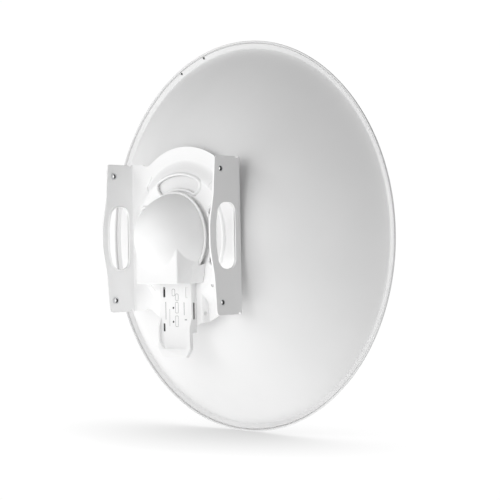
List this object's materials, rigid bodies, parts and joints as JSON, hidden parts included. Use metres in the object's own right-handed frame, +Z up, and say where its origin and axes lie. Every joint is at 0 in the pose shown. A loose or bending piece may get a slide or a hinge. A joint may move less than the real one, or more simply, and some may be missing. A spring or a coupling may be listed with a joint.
{
  "type": "parabolic dish antenna",
  "caption": "Round pressed radio dish on a folded steel bracket, with a domed radio housing behind it and a feed on its axis inside the bowl.",
  "frame": {"origin": "on the outer face of the right bracket flange, between its slot and its fold, at the height of the dish's axis", "axes": "+X out of the right flange (right as seen from behind), +Y along the dish's axis the way it looks, +Z up"},
  "size_m": [0.65, 0.2252, 0.65],
  "materials": {
    "reflector_paint": "powder coated, satin",
    "bracket_paint": "powder coated, satin",
    "housing_plastic": "fine moulded grain",
    "dark_plastic": "satin",
    "zinc_steel": "zinc plated",
    "sub_reflector_metal": "spun"
  },
  "bodies": {
    "root": {"reflector": "reflector_paint", "mount_bracket": "bracket_paint", "clinch_nut_upper_right": "zinc_steel", "clinch_nut_lower_right": "zinc_steel", "clinch_nut_lower_left": "zinc_steel", "clinch_nut_upper_left": "zinc_steel", "housing_base": "housing_plastic", "housing_cover": "housing_plastic", "radio_body": "housing_plastic", "port_cover": "housing_plastic", "cable_socket": "dark_plastic", "cover_clip_right": "dark_plastic", "cover_clip_left": "dark_plastic", "body_clip_right": "dark_plastic", "body_clip_left": "dark_plastic", "feed_collar": "housing_plastic", "feed_tube": "housing_plastic", "feed_cone": "housing_plastic", "sub_reflector": "sub_reflector_metal", "feed_cap": "housing_plastic", "screw_upper_right": "zinc_steel", "screw_lower_right": "zinc_steel", "screw_lower_left": "zinc_steel", "screw_upper_left": "zinc_steel"}
  },
  "joints": []
}
